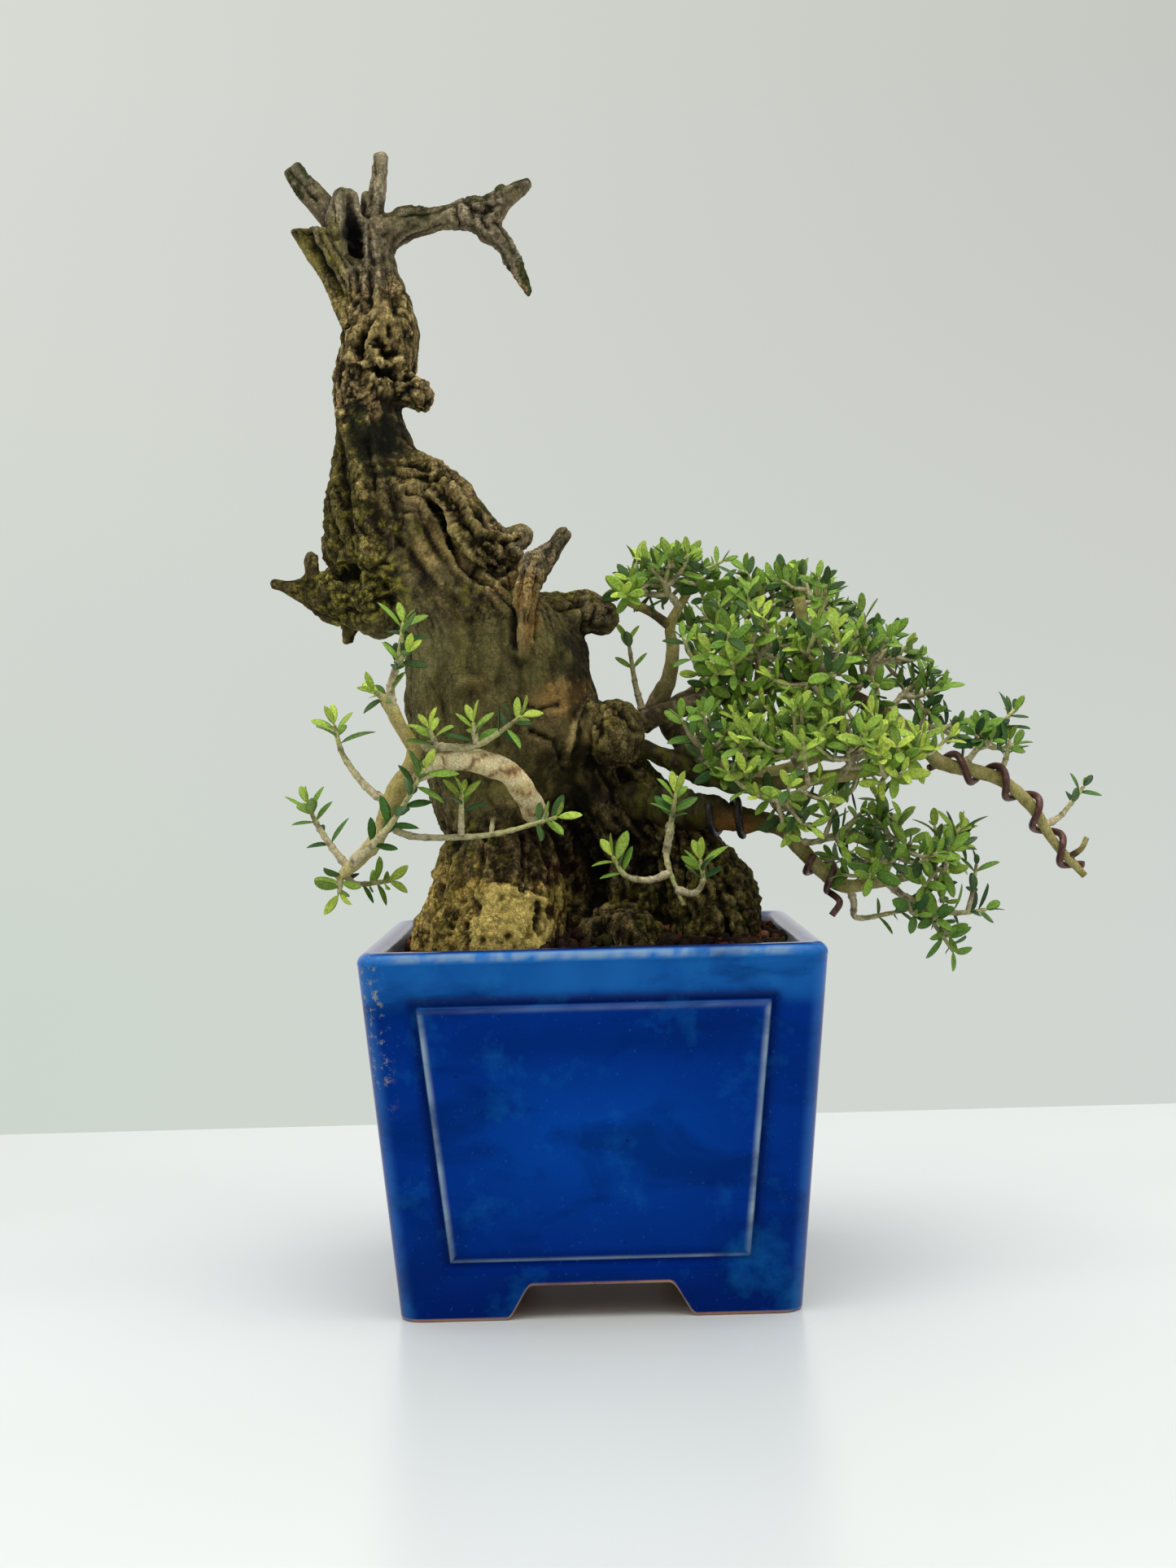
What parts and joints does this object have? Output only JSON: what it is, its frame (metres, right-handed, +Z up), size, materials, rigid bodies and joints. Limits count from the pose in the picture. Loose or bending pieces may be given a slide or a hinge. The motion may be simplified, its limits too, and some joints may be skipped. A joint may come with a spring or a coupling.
{
  "type": "wild olive bonsai",
  "caption": "Gnarled wild olive bonsai with grey deadwood crown and leafy side limbs, in a square blue glazed pot with framed panels.",
  "frame": {"origin": "under the middle of the whole tree and pot, at the level of the pot's feet", "axes": "+Z up, front faces -Y, +X to the leafy side"},
  "size_m": [0.2501, 0.13, 0.3389],
  "materials": {
    "glaze": "glossy cobalt glaze, thin and pale on the edges",
    "soil": "matt reddish grains with moss",
    "screen": "matt black",
    "bark": "rough furrowed bark, grey deadwood and moss",
    "leaf": "waxy green leaves on pale twigs",
    "wire": "anodised reddish brown and black"
  },
  "bodies": {
    "root": {"pot": "glaze", "soil": "soil", "drain_screen": "screen", "trunk": "bark", "spray_left_top": "leaf", "spray_left_outer": "leaf", "spray_left_inner": "leaf", "spray_left_front": "leaf", "spray_left_low": "leaf", "spray_left_tip": "leaf", "spray_left_foot": "leaf", "spray_front_hooks": "leaf", "spray_crown_a": "leaf", "spray_crown_b": "leaf", "spray_crown_c": "leaf", "spray_crown_twig": "leaf", "spray_rear_a": "leaf", "spray_rear_b": "leaf", "spray_rear_c": "leaf", "spray_rear_d": "leaf", "spray_rear_e": "leaf", "spray_long_a": "leaf", "spray_long_b": "leaf", "spray_long_c": "leaf", "spray_long_d": "leaf", "spray_long_e": "leaf", "spray_long_f": "leaf", "spray_long_g": "leaf", "spray_long_h": "leaf", "spray_long_i": "leaf", "spray_long_j": "leaf", "spray_middle_a": "leaf", "spray_middle_b": "leaf", "spray_middle_c": "leaf", "spray_middle_d": "leaf", "spray_middle_e": "leaf", "spray_middle_f": "leaf", "spray_low_rear_a": "leaf", "spray_low_rear_b": "leaf", "spray_low_rear_c": "leaf", "spray_lower_a": "leaf", "spray_lower_b": "leaf", "spray_lower_c": "leaf", "spray_lower_d": "leaf", "spray_lower_e": "leaf", "spray_lower_f": "leaf", "wire_long_limb": "wire", "wire_long_loop": "wire", "wire_lower_limb": "wire", "wire_lower_spur": "wire"}
  },
  "joints": []
}
